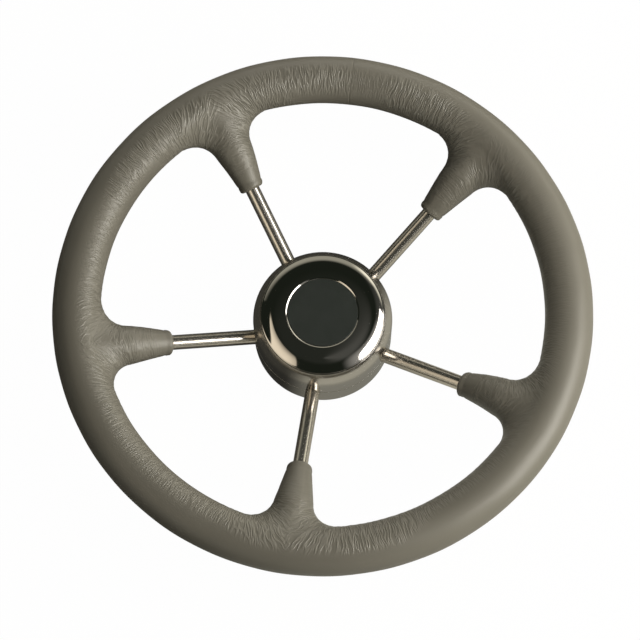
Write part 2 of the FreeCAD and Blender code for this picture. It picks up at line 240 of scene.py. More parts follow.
# The spokes: five round stainless rods, raked back from the rim to the hub. They are
# ground and buffed along their length, which leaves soft lines that run from the hub to
# the rim and a faint haze, so they are a little less than fully metallic.
RING_R = 156.25 * MM
DISH = 58.5 * MM
SEAM_R = 44.8 * MM
SEAM_Z = 20.8 * MM
RAKE = math.atan2(DISH - SEAM_Z, RING_R - SEAM_R)
ROD_STEEL = (0.66, 0.61, 0.535)
ROD_SHADE = (0.60, 0.55, 0.475)
LINES_ACROSS, LINES_ALONG = 260.0, 12.0
buffed_rod = Finish("buffed_rod", ROD_STEEL, Metallic=0.9)
x, y, z = buffed_rod.place()
reach = (x * x + y * y) ** 0.5
across = reach * buffed_rod.sum_of("SINE", past_spoke(buffed_rod, x, y) * SPOKE_TURN)
upward = z * math.cos(RAKE) - reach * math.sin(RAKE)
buff_lines = buffed_rod.grain(
    LINES_ACROSS, across, upward, reach * (LINES_ALONG / LINES_ACROSS), detail=0.5
)
buffed_rod.feed(
    Base_Color=buffed_rod.tint(buff_lines, ROD_SHADE, ROD_STEEL),
    Roughness=0.18 + buff_lines * 0.04,
)
for spoke in range(1, SPOKES + 1):
    finish_node(f"spoke_{spoke}", buffed_rod)


# The hub: a back cup and a front ring, pressed from stainless sheet, welded round the
# middle where the spokes go in, and then spun against a buff, so that its faint lines
# run round the wall.
STEEL = (0.60, 0.565, 0.515)
STEEL_SHADE = (0.53, 0.495, 0.445)
SPUN_LINES_A_METRE = 1400.0
SPUN_LINE_DEPTH = 0.003 * MM
HUB_SMEARS_A_METRE = 45.0
WELD_CORE, WELD_EDGE = 0.3 * MM, 1.2 * MM
spun_hub = Finish("spun_hub", STEEL, Metallic=1.0)
x, y, z = spun_hub.place()
from_axis = (x * x + y * y) ** 0.5
spun_lines = spun_hub.grain(SPUN_LINES_A_METRE, from_axis, z, 0.0)
smears = spun_hub.grain(HUB_SMEARS_A_METRE, x, y, z * 2.0, detail=3.0)
weld_tint = spun_hub.between(abs(z - SEAM_Z), WELD_EDGE, WELD_CORE)
spun_hub.feed(
    Base_Color=spun_hub.tint(weld_tint * 0.5 + smears * 0.4, STEEL, STEEL_SHADE),
    Roughness=0.14 + spun_lines * 0.05 + smears * 0.05 + weld_tint * 0.12,
)
spun_hub.relief(spun_lines, SPUN_LINE_DEPTH)
finish_node("hub_back_cup", spun_hub)
finish_node("hub_front_ring", spun_hub)


# The grip: soft foam moulded round the hoop in one piece, with a skin like leather and
# a sleeve down each spoke. The skin has shrunk into fine folds that run across the rim
# on its front and inner side, and fan out where the sleeves begin.
GRIP_R = 15.25 * MM
RAKE_ALONG, RAKE_DOWN = math.cos(RAKE), math.sin(RAKE)
SLEEVE_REACH = 57.5 * MM
SLEEVE_TIP = SLEEVE_REACH / RAKE_ALONG
TAPER_START = 30.0 * MM / RAKE_ALONG
TAPER_EASE = 0.006
FAN_ROOT = TAPER_START - 3.0 * MM
ROOT_WIDTH = 12.85 * MM
LIP_WIDTH = 7.45 * MM
LIP_ROUND = 2.2 * MM
LIP_FROM, LIP_SWELL = 3.0 * MM, 0.25 * MM
GROOVE_AT, GROOVE_HALF, GROOVE_DEPTH = 4.6 * MM, 0.8 * MM, 0.22 * MM
BLEND = 16.5 * MM
ROD_ROOM = 5.05 * MM
ROD_ROOM_END = 9.0 * MM
MOUTH_EDGE = 0.25 * MM
HOOP_ROOM = 8.3 * MM
# Each sleeve's flare is a little off its rod's line, by these amounts at its middle.
SLEEVE_LEANS = [-0.5 * MM, -0.4 * MM, 0.0, 0.9 * MM, 0.4 * MM]
LEAN_AT, LEAN_OVER = 44.0 * MM, 14.0 * MM

# The photograph was taken with the wheel turned this far from the first spoke upright.
PHOTO_TURN = math.radians(-27.64)
# How strongly the skin is folded round the ring by the angle in the photograph, and
# between which angles of the section, from its front towards its inner side.
FOLD_ANGLES = [0, 22, 40, 52, 59, 72, 76, 82, 86, 148, 156, 182, 190, 246, 254, 288, 298, 335, 360]
RING_FOLDS = [
    0.15, 0.2, 0.3, 0.4, 1.0, 1.0, 0.35, 0.35, 1.0, 1.0,
    0.6, 0.6, 0.8, 0.8, 0.9, 0.9, 0.5, 0.3, 0.15,
]
FOLDS_FROM = [0, 0, 0, 0, -8, -8, -5, -6, -10, -8, 10, 12, 12, 10, -12, -12, 25, 30, 0]
FOLDS_TO = [80, 80, 70, 60, 65, 65, 50, 45, 45, 42, 43, 43, 50, 50, 79, 79, 85, 85, 80]
SLEEVE_FOLDS = [0.45, 0.5, 0.2, 0.6, 0.5]
CORNER_FOLDS = [(1.0, 1.0), (0.8, 0.8), (0.9, 0.9), (0.8, 0.4), (0.9, 0.9)]
# The inner edge of the skin runs along the sleeve, round this spot, and on along the
# ring from this angle. The lengths are where each stretch starts, and its radius.
CORNER_SPOT = (120.99 * MM, 29.35 * MM)
CORNER_END = math.radians(13.64)
CORNER_FROM, CORNER_R = 22.2 * MM, 24.0 * MM
RING_FROM, RING_EDGE_R = 65.7 * MM, 148.5 * MM
HALVES_MEET = 7.0 * MM
FOLD_STEP, FOLD_DEPTH, LUMP_DEPTH = 5.3 * MM, 0.15 * MM, 0.10 * MM
# Small dents of the skin: where, how wide and how deep, in mm.
NICKS = [
    ((-60.5, -127.9, 62.2), 1.9, 0.45),
    ((-54.0, -130.8, 62.2), 1.9, 0.45),
    ((-79.4, -88.4, 46.2), 2.0, 0.5),
    ((113.4, 52.8, 48.0), 2.0, 0.5),
]

# The cells of a fifth of the ring, half the window that its sleeve grows from, and the
# rings of points from that window to the sleeve and down it. The folds fade in the last.
ROUND_CELLS, ABOUT_CELLS = 160, 80
HOLE_ROUND, HOLE_ABOUT = 20, 12
NEAR_RINGS, SHAFT_RINGS, FADE_RINGS = 16, 26, 6


def smooth_step(value, low, high):
    """0 below low, 1 above high, and an even S between them."""
    share = np.clip((value - low) / (high - low), 0.0, 1.0)
    return share * share * (3.0 - 2.0 * share)


def hump(value, rise_from, rise_to, fall_from, fall_to):
    """0, then 1 between the rise and the fall, and 0 again."""
    rise = smooth_step(value, rise_from, rise_to)
    return rise * (1.0 - smooth_step(value, fall_from, fall_to))


def plain_width(along):
    """A sleeve's half width by distance from the rim's line: straight, then a taper,
    with the turn from one to the other eased by a square root. Also its slope."""
    length, drop = SLEEVE_TIP - TAPER_START, ROOT_WIDTH - LIP_WIDTH
    taper = (along - TAPER_START) / length
    eased = np.sqrt(taper * taper + TAPER_EASE)
    width = ROOT_WIDTH - drop * 0.5 * (taper + eased)
    return width, -drop / length * 0.5 * (1.0 + taper / eased)


def sleeve_width(along):
    """The half width with a shallow groove and a slightly swollen lip near the end."""
    from_tip = SLEEVE_TIP - along
    groove = np.exp(-((from_tip - GROOVE_AT) / GROOVE_HALF) ** 2)
    swell = smooth_step(from_tip, GROOVE_AT, LIP_FROM)
    return plain_width(along)[0] - GROOVE_DEPTH * groove + LIP_SWELL * swell


def skin_distance(points, lean):
    """How far a point is from the plain skin of a rim with one sleeve towards -x from
    the rim's line. Between the two it is the distance to a ball of the blend's radius
    that touches both, found from the two distances and the angle of their slopes."""
    px, py, pz = points[..., 0], points[..., 1], points[..., 2]
    reach, up = np.hypot(px, py), pz - DISH
    section = np.hypot(reach - RING_R, up)
    to_ring = section - GRIP_R
    out = px - RING_R
    along = -out * RAKE_ALONG - up * RAKE_DOWN
    above = up * RAKE_ALONG - out * RAKE_DOWN
    aside = py - lean * np.exp(-((along - LEAN_AT) / LEAN_OVER) ** 2)
    behind = np.minimum(along, 0.0)
    width, slope = plain_width(np.maximum(along, 0.0))
    radius = np.sqrt(aside * aside + above * above + behind * behind)
    lie = np.sqrt(1.0 + slope * slope)
    to_sleeve = (radius - width) / lie
    ring_across = (px * (reach - RING_R) / reach, py * (reach - RING_R) / reach, up)
    axial = behind / radius - slope
    sleeve_across = (
        -above / radius * RAKE_DOWN - axial * RAKE_ALONG,
        aside / radius,
        above / radius * RAKE_ALONG - axial * RAKE_DOWN,
    )
    cosine = sum(a * b for a, b in zip(ring_across, sleeve_across)) / (section * lie)
    cosine = np.minimum(cosine, 0.999)
    ring_room, sleeve_room = BLEND - to_ring, BLEND - to_sleeve
    blended = (
        (ring_room > 0.0) & (sleeve_room > 0.0)
        & (ring_room > cosine * sleeve_room) & (sleeve_room > cosine * ring_room)
    )
    square = ring_room**2 + sleeve_room**2 - 2.0 * ring_room * sleeve_room * cosine
    to_ball = np.sqrt(np.maximum(square, 0.0) / (1.0 - cosine * cosine))
    return np.where(blended, BLEND - to_ball, np.minimum(to_ring, to_sleeve))


def slope_of(points, lean):
    """The direction in which the distance grows fastest, from small steps each way."""
    step = 0.02 * MM
    sides = []
    for axis in range(3):
        shift = np.zeros(3)
        shift[axis] = step
        ahead = skin_distance(points + shift, lean)
        sides.append((ahead - skin_distance(points - shift, lean)) / (2.0 * step))
    return np.stack(sides, axis=-1)


def onto_skin(points, lean):
    """Moves points along the slope, a dozen times, until they lie on the plain skin."""
    for _ in range(12):
        slope = slope_of(points, lean)
        size = np.maximum((slope * slope).sum(-1, keepdims=True), 1e-6)
        points = points - slope * (skin_distance(points, lean)[..., None] / size)
    return points


def ring_point(turn, about, radius=GRIP_R, start=math.pi + RAKE):
    """A point of a bare ring: turned about the wheel's axis, and about the rim's line
    from the side that faces down the sleeve, or from that start."""
    section = about + start
    out = RING_R + radius * np.cos(section)
    return np.stack(
        [out * np.cos(turn), out * np.sin(turn), DISH + radius * np.sin(section)], axis=-1
    )


def sleeve_point(along, width, side):
    """A point round a sleeve's line: side 0 is sideways, and a quarter turn is its back."""
    above = -width * np.sin(side)
    out = -along * RAKE_ALONG - above * RAKE_DOWN
    up = -along * RAKE_DOWN + above * RAKE_ALONG
    return np.stack([RING_R + out, width * np.cos(side), DISH + up], axis=-1)


def one_spoke_skin(lean):
    """The skin of a fifth of the rim and its sleeve, as a sheet of points on the ring
    with a window in it, and a fan of points that runs from the window's edge down the
    sleeve, round the lip and back up the room for the spoke, to a last point there."""
    turns = np.linspace(-SPOKE_TURN / 2, SPOKE_TURN / 2, ROUND_CELLS + 1)
    even = np.linspace(-math.pi, math.pi, ABOUT_CELLS + 1)
    # Steps are finer where the section faces forwards, a quarter turn and more before
    # the sleeve's side.
    abouts = even - 0.22 * (np.sin(even + 1.9) - math.sin(1.9 - math.pi))
    abouts -= abouts[ABOUT_CELLS // 2]
    turn, about = np.meshgrid(turns, abouts, indexing="ij")
    sheet = onto_skin(ring_point(turn, about), lean)

    left, right = ROUND_CELLS // 2 - HOLE_ROUND, ROUND_CELLS // 2 + HOLE_ROUND
    low, high = ABOUT_CELLS // 2 - HOLE_ABOUT, ABOUT_CELLS // 2 + HOLE_ABOUT
    edge_i = np.concatenate([
        np.full(high - low, right), np.arange(right, left, -1),
        np.full(high - low, left), np.arange(left, right),
    ])
    edge_j = np.concatenate([
        np.arange(low, high), np.full(right - left, high),
        np.arange(high, low, -1), np.full(right - left, low),
    ])
    edge = sheet[edge_i, edge_j]
    # The fan's lines start where the window's edge lies, and are evened out round it.
    out, up = edge[:, 0] - RING_R, edge[:, 2] - DISH
    above = up * RAKE_ALONG - out * RAKE_DOWN
    sides = np.unwrap(np.arctan2(-above, edge[:, 1]))
    even_sides = np.linspace(sides[0], sides[0] + math.tau, len(edge), endpoint=False)
    sides = 0.45 * sides + 0.55 * even_sides

    foot = sleeve_point(np.full(len(edge), FAN_ROOT), ROOT_WIDTH, sides)
    share = np.linspace(0.0, 1.0, NEAR_RINGS + 1)[1:, None, None]
    near = onto_skin(edge * (1.0 - share) + foot * share, lean)
    alongs = np.linspace(FAN_ROOT, SLEEVE_TIP - LIP_ROUND, SHAFT_RINGS + 1)[1:]
    plain = plain_width(alongs)[0]
    shaft = onto_skin(sleeve_point(alongs[:, None], plain[:, None], sides), lean)
    extra = sleeve_width(alongs) - plain
    shaft = shaft + slope_of(shaft, lean) * extra[:, None, None]

    bend = np.linspace(0.0, math.pi / 2, 6)[1:]
    lip_width = sleeve_width(np.array(SLEEVE_TIP - LIP_ROUND))
    end_alongs = np.concatenate([
        SLEEVE_TIP - LIP_ROUND * (1.0 - np.sin(bend)),
        [SLEEVE_TIP, SLEEVE_TIP - MOUTH_EDGE],
        np.linspace(SLEEVE_TIP - 6.0 * MM, ROD_ROOM_END, 5),
    ])
    end_widths = np.concatenate([
        lip_width - LIP_ROUND * (1.0 - np.cos(bend)),
        [ROD_ROOM + MOUTH_EDGE], np.full(6, ROD_ROOM),
    ])
    end = sleeve_point(end_alongs[:, None], end_widths[:, None], sides)
    pole = sleeve_point(np.array(ROD_ROOM_END), 0.0, 0.0)
    fan = np.concatenate([near, shaft, end])
    return sheet, (left, right, low, high), (edge_i, edge_j), fan, pole


def fold_lines(points):
    """How far along each side's inner edge a point lies, in metres, from the sleeve's
    tip through the corner and round the ring. Lines of one value run across the skin, as
    its folds do. The third value is the share of the side at +y."""
    px, py = points[..., 0], points[..., 1]
    sides = []
    for side in (1.0, -1.0):
        dx, dy = px - CORNER_SPOT[0], side * py - CORNER_SPOT[1]
        turned = np.clip(np.arctan2(dx, -dy), 0.0, None)
        theta = side * np.arctan2(py, px)
        shaft = px - (RING_R - SLEEVE_REACH)
        corner = CORNER_FROM + CORNER_R * turned
        ring = RING_FROM + RING_EDGE_R * (theta - CORNER_END)
        line = np.where(dx < 0.0, shaft, corner)
        sides.append(np.where(theta > CORNER_END, ring, line))
    line_a = np.where(py < -HALVES_MEET, sides[1], sides[0])
    line_b = np.where(py > HALVES_MEET, sides[0], sides[1])
    return np.stack([line_a, line_b, smooth_step(py, -HALVES_MEET, HALVES_MEET)], axis=-1)


def fold_share(points, turned, sleeve_folds, corner_folds):
    """How strongly the skin is folded, from 0 to 1: on the ring by the angle in the
    photograph and the angle round the section, more or less on each sleeve and corner.
    Each zone rises and falls smoothly, over some degrees or millimetres."""
    px, py, pz = points[..., 0], points[..., 1], points[..., 2]
    reach, up = np.hypot(px, py), pz - DISH
    around = np.degrees(np.arctan2(py, px) + turned - PHOTO_TURN) % 360.0
    section = 90.0 - np.degrees(np.arctan2(up, RING_R - reach))
    section = (section + 180.0) % 360.0 - 180.0
    low = np.interp(around, FOLD_ANGLES, FOLDS_FROM)
    high = np.interp(around, FOLD_ANGLES, FOLDS_TO)
    on_ring = np.interp(around, FOLD_ANGLES, RING_FOLDS)
    on_ring = on_ring * hump(section, low - 16.0, low + 8.0, high - 8.0, high + 26.0)

    inward = RING_R - reach
    above = up * RAKE_ALONG + inward * RAKE_DOWN
    facing = smooth_step(above, -5.0 * MM, 4.0 * MM)
    from_tip = px - (RING_R - SLEEVE_REACH)
    sleeve = sleeve_folds * smooth_step(from_tip, 4.5 * MM, 12.0 * MM)
    sleeve = sleeve + (0.8 - sleeve) * smooth_step(from_tip, 20.0 * MM, 30.0 * MM)
    on_sleeve = smooth_step(inward, 13.0 * MM, 24.0 * MM)
    share = on_ring * (1.0 - on_sleeve) + sleeve * facing * on_sleeve

    corner = np.where(py > 0.0, corner_folds[0], corner_folds[1])
    at_corner = hump(inward, 6.0 * MM, 14.0 * MM, 20.0 * MM, 31.0 * MM)
    at_corner = at_corner * hump(np.abs(py), 3.0 * MM, 13.0 * MM, 38.0 * MM, 52.0 * MM)
    return share + (corner * facing - share) * at_corner


def fold_relief(points, lines, share):
    """The folds and lumps too wide for the shader, in metres. A fold is the square of
    (1 + sin) / 2 along its line, bent by slower waves. A lump is two waves multiplied."""
    px, py, pz = points[..., 0], points[..., 1], points[..., 2]
    bend = 1.3 * np.sin(px * 290.0 + pz * 160.0) + 1.1 * np.sin(py * 340.0 - px * 120.0)
    height = 0.0
    for line, part in ((lines[..., 0], lines[..., 2]), (lines[..., 1], 1.0 - lines[..., 2])):
        wave = 0.5 + 0.5 * np.sin(line * (math.tau / FOLD_STEP) + bend)
        height = height + part * (wave * wave - 0.375)
    strong = 0.5 + 0.5 * np.sin(px * 97.0 + 1.0) * np.sin(py * 83.0 + 2.0)
    lumps = np.sin(px * 118.0 + py * 61.0) * np.sin(py * 133.0 - px * 49.0 + pz * 90.0)
    return FOLD_DEPTH * share * (0.5 + strong) * height + LUMP_DEPTH * lumps


def folded(points, lean, spoke, deep):
    """A fifth's points, turned to their place and moved along the skin's slope by its
    folds, where deep is 1. Also what the shader needs there: the fold lines and how
    strongly they show."""
    turned = FIRST_SPOKE + spoke * SPOKE_TURN
    lines = fold_lines(points)
    share = fold_share(points, turned, SLEEVE_FOLDS[spoke], CORNER_FOLDS[spoke]) * deep
    slope = slope_of(points, lean)
    slope = slope / np.maximum(np.linalg.norm(slope, axis=-1, keepdims=True), 1e-6)
    cos, sin = math.cos(turned), math.sin(turned)
    spin = np.array([[cos, -sin, 0.0], [sin, cos, 0.0], [0.0, 0.0, 1.0]])
    placed = points @ spin.T
    move = fold_relief(placed, lines, share) * deep
    for spot, size, depth in NICKS:
        far = np.linalg.norm(placed - np.array(spot) * MM, axis=-1)
        move = move - depth * MM * np.exp(-(far / (size * MM)) ** 2) * (deep > 0.0)
    placed = placed + (slope @ spin.T) * move[..., None]
    return placed, np.concatenate([lines, share[..., None]], axis=-1)


def skin_mesh():
    """The whole grip from its five fifths: their sheets share their ends, each fan is
    sewn to its window's edge, and the room for the hoop is a closed ring inside. Gives
    points, quads, triangles, and the shader's four marks at each point."""
    rows, columns = ROUND_CELLS, ABOUT_CELLS
    full_rings = NEAR_RINGS + SHAFT_RINGS - FADE_RINGS
    ring_points, fan_points, ring_marks, fan_marks = [], [], [], []
    ring_quads, fan_quads, triangles = [], [], []
    first_id = SPOKES * rows * columns
    for spoke, lean in enumerate(SLEEVE_LEANS):
        sheet, (left, right, low, high), (edge_i, edge_j), fan, pole = one_spoke_skin(lean)
        placed, marks = folded(sheet[:-1, :-1], lean, spoke, np.array(1.0))
        ring_points.append(placed.reshape(-1, 3))
        ring_marks.append(marks.reshape(-1, 4))
        i, j = np.meshgrid(np.arange(rows), np.arange(columns), indexing="ij")
        in_window = (i >= left) & (i < right) & (j >= low) & (j < high)
        i, j = i[~in_window] + spoke * rows, j[~in_window]
        next_i, next_j = (i + 1) % (SPOKES * rows), (j + 1) % columns
        ring_quads.append(np.stack([
            i * columns + j, next_i * columns + j,
            next_i * columns + next_j, i * columns + next_j,
        ], axis=-1))

        levels, count = fan.shape[:2]
        deep = np.zeros(levels)
        deep[:full_rings] = 1.0
        deep[full_rings:full_rings + FADE_RINGS] = np.linspace(0.85, 0.0, FADE_RINGS)
        deep = np.append(np.repeat(deep, count), 0.0)
        whole = np.concatenate([fan.reshape(-1, 3), pole[None]])
        placed, marks = folded(whole, lean, spoke, deep)
        fan_points.append(placed)
        fan_marks.append(marks)
        pole_id = first_id + levels * count
        ids = np.concatenate([
            ((edge_i + spoke * rows) * columns + edge_j)[None],
            np.arange(first_id, pole_id).reshape(levels, count),
        ])
        ahead = np.roll(ids, -1, axis=1)
        fan_quads.append(np.stack(
            [ids[:-1], ahead[:-1], ahead[1:], ids[1:]], axis=-1
        ).reshape(-1, 4))
        triangles.append(np.stack(
            [ids[-1], ahead[-1], np.full(count, pole_id)], axis=-1
        ))
        first_id = pole_id + 1

    turn = np.linspace(0.0, math.tau, 200, endpoint=False)
    about = np.linspace(0.0, math.tau, 16, endpoint=False)
    turn, about = np.meshgrid(turn, about, indexing="ij")
    room = ring_point(turn, about, radius=HOOP_ROOM, start=0.0)
    ids = first_id + np.arange(turn.size).reshape(turn.shape)
    beside, over = np.roll(ids, -1, axis=0), np.roll(ids, -1, axis=1)
    room_quads = np.stack([ids, over, np.roll(beside, -1, axis=1), beside], axis=-1)
    return map(np.concatenate, (
        ring_points + fan_points + [room.reshape(-1, 3)],
        ring_quads + fan_quads + [room_quads.reshape(-1, 4)],
        triangles,
        ring_marks + fan_marks + [np.zeros((turn.size, 4))],
    ))


def smooth_piece(name, points, quads, triangles):
    """An object whose smooth mesh has those points, quads and triangles."""
    mesh = bpy.data.meshes.new(name)
    corners = np.concatenate([quads.ravel(), triangles.ravel()])
    sides = np.concatenate([np.full(len(quads), 4), np.full(len(triangles), 3)])
    mesh.vertices.add(len(points))
    mesh.vertices.foreach_set("co", points.astype(np.float32).ravel())
    mesh.loops.add(len(corners))
    mesh.loops.foreach_set("vertex_index", corners.astype(np.int32))
    mesh.polygons.add(len(sides))
    mesh.polygons.foreach_set("loop_start", (np.cumsum(sides) - sides).astype(np.int32))
    mesh.polygons.foreach_set("use_smooth", np.ones(len(sides), bool))
    mesh.update(calc_edges=True)
    mesh.validate()
    piece = bpy.data.objects.new(name, mesh)
    bpy.context.scene.collection.objects.link(piece)
    return piece


skin_points, skin_quads, skin_triangles, skin_marks = skin_mesh()
grip_skin = smooth_piece("grip_skin", skin_points, skin_quads, skin_triangles)
fold_mark = grip_skin.data.attributes.new("fold_lines", "FLOAT_VECTOR", "POINT")
fold_mark.data.foreach_set("vector", skin_marks[:, :3].astype(np.float32).ravel())
fold_mark = grip_skin.data.attributes.new("fold_show", "FLOAT", "POINT")
fold_mark.data.foreach_set("value", skin_marks[:, 3].astype(np.float32))

TAUPE = (0.205, 0.190, 0.150)
TAUPE_DEEP = (0.182, 0.168, 0.132)
TAUPE_CREST = (0.262, 0.245, 0.198)
FOLDS_A_METRE = 110.0
ALONG_FACTOR = 7.0
SWAYS_A_METRE, SWAY = 95.0, 3.0 * MM
MOTTLE_A_METRE, PORES_A_METRE = 28.0, 1500.0
CREST_DEPTH = 0.26 * MM
JOINT_AT = math.radians(83.0) + PHOTO_TURN
JOINT_FROM, JOINT_FULL = 100.0 * MM, 120.0 * MM
JOINT_CORE, JOINT_EDGE = 0.1 * MM, 0.7 * MM
foam_skin = Finish("foam_skin", TAUPE, Specular_IOR_Level=0.56)
x, y, z = foam_skin.place()
lines = foam_skin.node("Attribute", {"attribute_name": "fold_lines"}, output=1)
line_a, line_b, side_a = foam_skin.parts(lines)
folds_here = foam_skin.node("Attribute", {"attribute_name": "fold_show"}, output=2)
here = foam_skin.node("CombineXYZ", s0=x, s1=y, s2=z)
sway = foam_skin.grain(SWAYS_A_METRE, x, y, z, detail=1.0) - 0.5


def fold_crest(line):
    """1 on the crest of a fine fold. Noise that changes slowly over the skin and fast
    from one fold line to the next is long across the skin, and a crest is its middle."""
    wave = foam_skin.node(
        "TexNoise", {"noise_dimensions": "4D"},
        Vector=here, W=(line + sway * SWAY) * ALONG_FACTOR, Scale=FOLDS_A_METRE, Detail=0.5,
    )
    return foam_skin.between(abs(wave - 0.5), 0.15, 0.0)


crest = fold_crest(line_a) * side_a + fold_crest(line_b) * (1.0 - side_a)
crest = crest * folds_here
mottle = foam_skin.grain(MOTTLE_A_METRE, x, y, z, detail=3.0)
pores = foam_skin.grain(PORES_A_METRE, x, y, z)
# The line across the rim at the top of the photograph, where the moulding was closed.
off_joint = abs(y * math.cos(JOINT_AT) - x * math.sin(JOINT_AT))
out_to_joint = x * math.cos(JOINT_AT) + y * math.sin(JOINT_AT)
joint = foam_skin.between(off_joint, JOINT_EDGE, JOINT_CORE)
joint = joint * foam_skin.between(out_to_joint, JOINT_FROM, JOINT_FULL)
skin_tone = foam_skin.tint(crest * 0.6, foam_skin.tint(mottle, TAUPE_DEEP, TAUPE), TAUPE_CREST)
foam_skin.feed(
    Base_Color=foam_skin.tint(joint * 0.3, skin_tone, TAUPE_DEEP),
    Roughness=0.39 + mottle * 0.08 - crest * 0.04,
)
foam_skin.relief(crest + pores * 0.05 - joint * 0.5, CREST_DEPTH)
grip_skin.data.materials.append(foam_skin.material)
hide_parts("rim_grip")
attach(grip_skin, "root")


# The cap: pressed from thin stainless sheet and mirror-buffed, with a round recess in
# the middle. It clips into the front ring's opening on its rubber ring, and its crown
# falls faster and faster towards its rounded edge.
CAP_R = 39.6
CROWN_FROM, CROWN_TO = 23.5, 39.05
CROWN_TOP = 51.45
CROWN_AT = [23.5, 27.0, 30.0, 32.5, 34.5, 36.0, 37.5, 38.9]
CROWN_TILT = [2.5, 4.2, 7.0, 13.5, 21.0, 25.5, 28.0, 29.5]
CAP_SHEET = 1.2
RECESS_R, RECESS_FLOOR = 22.5, 50.51
RECESS_BEVEL = [
    (22.5, 50.75), (22.6, 50.9), (22.8, 51.05), (23.0, 51.18),
    (23.2, 51.29), (23.35, 51.37), (23.45, 51.42),
]
FLAT_UNDER = 45.9
SKIRT_R, SKIRT_FOOT, SKIRT_INSIDE = 38.7, 39.2, (37.5, 45.1)
SEAL_R, SEAL_HIGH, SEAL_GROOVE, GROOVE_TURN = 39.4, 42.03, 1.35, 1.02
CAP_STEPS = 360
SMEARS_A_METRE = 60.0


def cap_profile():
    """The cap's outline, (radius, height) in mm, once round from its middle: the recess
    and its bevelled edge, the crown, whose tilt runs through the values above, the
    rounded edge, the flat under it, the skirt with the seal's groove, and the crown's
    underside."""
    reach = np.linspace(CROWN_FROM, CROWN_TO, 34)
    fall = np.tan(np.radians(np.interp(reach, CROWN_AT, CROWN_TILT)))
    drop = np.append(0.0, np.cumsum(0.5 * (fall[1:] + fall[:-1]) * np.diff(reach)))
    crown_z = CROWN_TOP - drop
    points = [(0.0, RECESS_FLOOR), (RECESS_R, RECESS_FLOOR)] + RECESS_BEVEL
    points += list(zip(reach, crown_z))
    edge_round = CAP_R - CROWN_TO
    points += [
        (CROWN_TO + edge_round * (math.sin(turn) - 0.5) * 2.0,
         crown_z[-1] - edge_round * (0.87 - math.cos(turn)) * 0.6)
        for turn in np.radians([48.0, 68.0, 88.0])
    ]
    points += [(CAP_R, FLAT_UNDER), (SKIRT_R, FLAT_UNDER), (SKIRT_R, SEAL_HIGH + SEAL_GROOVE)]
    points += [
        (SEAL_R - SEAL_GROOVE * math.cos(turn), SEAL_HIGH + SEAL_GROOVE * math.sin(turn))
        for turn in np.linspace(GROOVE_TURN, -GROOVE_TURN, 9)
    ]
    points += [(SKIRT_R, SEAL_HIGH - SEAL_GROOVE), (SKIRT_R, SKIRT_FOOT)]
    points += [(SKIRT_INSIDE[0], SKIRT_FOOT), SKIRT_INSIDE]
    points += [(r, high - CAP_SHEET) for r, high in zip(reach[::-1][4:], crown_z[::-1][4:])]
    points += [(CROWN_FROM, RECESS_FLOOR - CAP_SHEET), (0.0, RECESS_FLOOR - CAP_SHEET)]
    return np.array(points)


def turned_piece(name, profile, steps):
    """A closed solid from an outline turned about the axis. Its first and last points lie
    on the axis, so the rings next to them close on one point each."""
    turn = np.linspace(0.0, math.tau, steps, endpoint=False)
    rings = profile[1:-1]
    reach, high = rings[:, 0, None], np.repeat(rings[:, 1, None], steps, axis=1)
    ring_points = np.stack([reach * np.cos(turn), reach * np.sin(turn), high], axis=-1)
    poles = np.array([[0.0, 0.0, profile[0, 1]], [0.0, 0.0, profile[-1, 1]]])
    points = np.concatenate([ring_points.reshape(-1, 3), poles]) * MM
    ids = np.arange(len(rings) * steps).reshape(len(rings), steps)
    ahead = np.roll(ids, -1, axis=1)
    quads = np.stack([ids[:-1], ids[1:], ahead[1:], ahead[:-1]], axis=-1).reshape(-1, 4)
    front = np.full(steps, len(rings) * steps)
    triangles = np.concatenate([
        np.stack([front, ids[0], ahead[0]], axis=-1),
        np.stack([front + 1, ahead[-1], ids[-1]], axis=-1),
    ])
    return smooth_piece(name, points, quads, triangles)


cap_mirror = turned_piece("cap_mirror", cap_profile(), CAP_STEPS)
cap_mirror.data.set_sharp_from_angle(angle=math.radians(32.0))
mirror_cap = Finish("mirror_cap", STEEL, Metallic=1.0)
x, y, z = mirror_cap.place()
smears = mirror_cap.grain(SMEARS_A_METRE, x, y, z, detail=4.0)
mirror_cap.feed(
    Base_Color=mirror_cap.tint(smears, STEEL, STEEL_SHADE),
    Roughness=0.035 + smears * 0.04,
)
cap_mirror.data.materials.append(mirror_cap.material)
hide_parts("cap_cover")
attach(cap_mirror, "root")


# The seal: a ring of black rubber in the groove of the cap's skirt, which holds the cap
# in the front ring's opening. It is out of sight, and its skin has a pale bloom.
RUBBER = (0.02, 0.02, 0.021)
RUBBER_BLOOM = (0.035, 0.034, 0.033)
BLOOM_A_METRE = 220.0
seal_rubber = Finish("seal_rubber", RUBBER)
x, y, z = seal_rubber.place()
bloom = seal_rubber.grain(BLOOM_A_METRE, x, y, z, detail=3.0)
seal_rubber.feed(
    Base_Color=seal_rubber.tint(bloom, RUBBER, RUBBER_BLOOM),
    Roughness=0.55 + bloom * 0.2,
)
finish_node("cap_seal", seal_rubber)


# The disc: a thin blank plate, glued in the cap's recess. Its dark satin coat is a
# little cloudy and has fine specks.
DISC_DARK = (0.029, 0.033, 0.028)
DISC_PALE = (0.042, 0.047, 0.041)
CLOUDS_A_METRE, SPECKS_A_METRE = 90.0, 1900.0
SPECK_DEPTH = 0.01 * MM
satin_disc = Finish("satin_disc", DISC_DARK)
x, y, z = satin_disc.place()
cloud = satin_disc.grain(CLOUDS_A_METRE, x, y, 0.0, detail=4.0)
specks = satin_disc.grain(SPECKS_A_METRE, x, y, 0.0)
satin_disc.feed(
    Base_Color=satin_disc.tint(cloud, DISC_DARK, DISC_PALE),
    Roughness=0.27 + cloud * 0.08 + specks * 0.05,
)
satin_disc.relief(specks, SPECK_DEPTH)
finish_node("cap_disc", satin_disc)


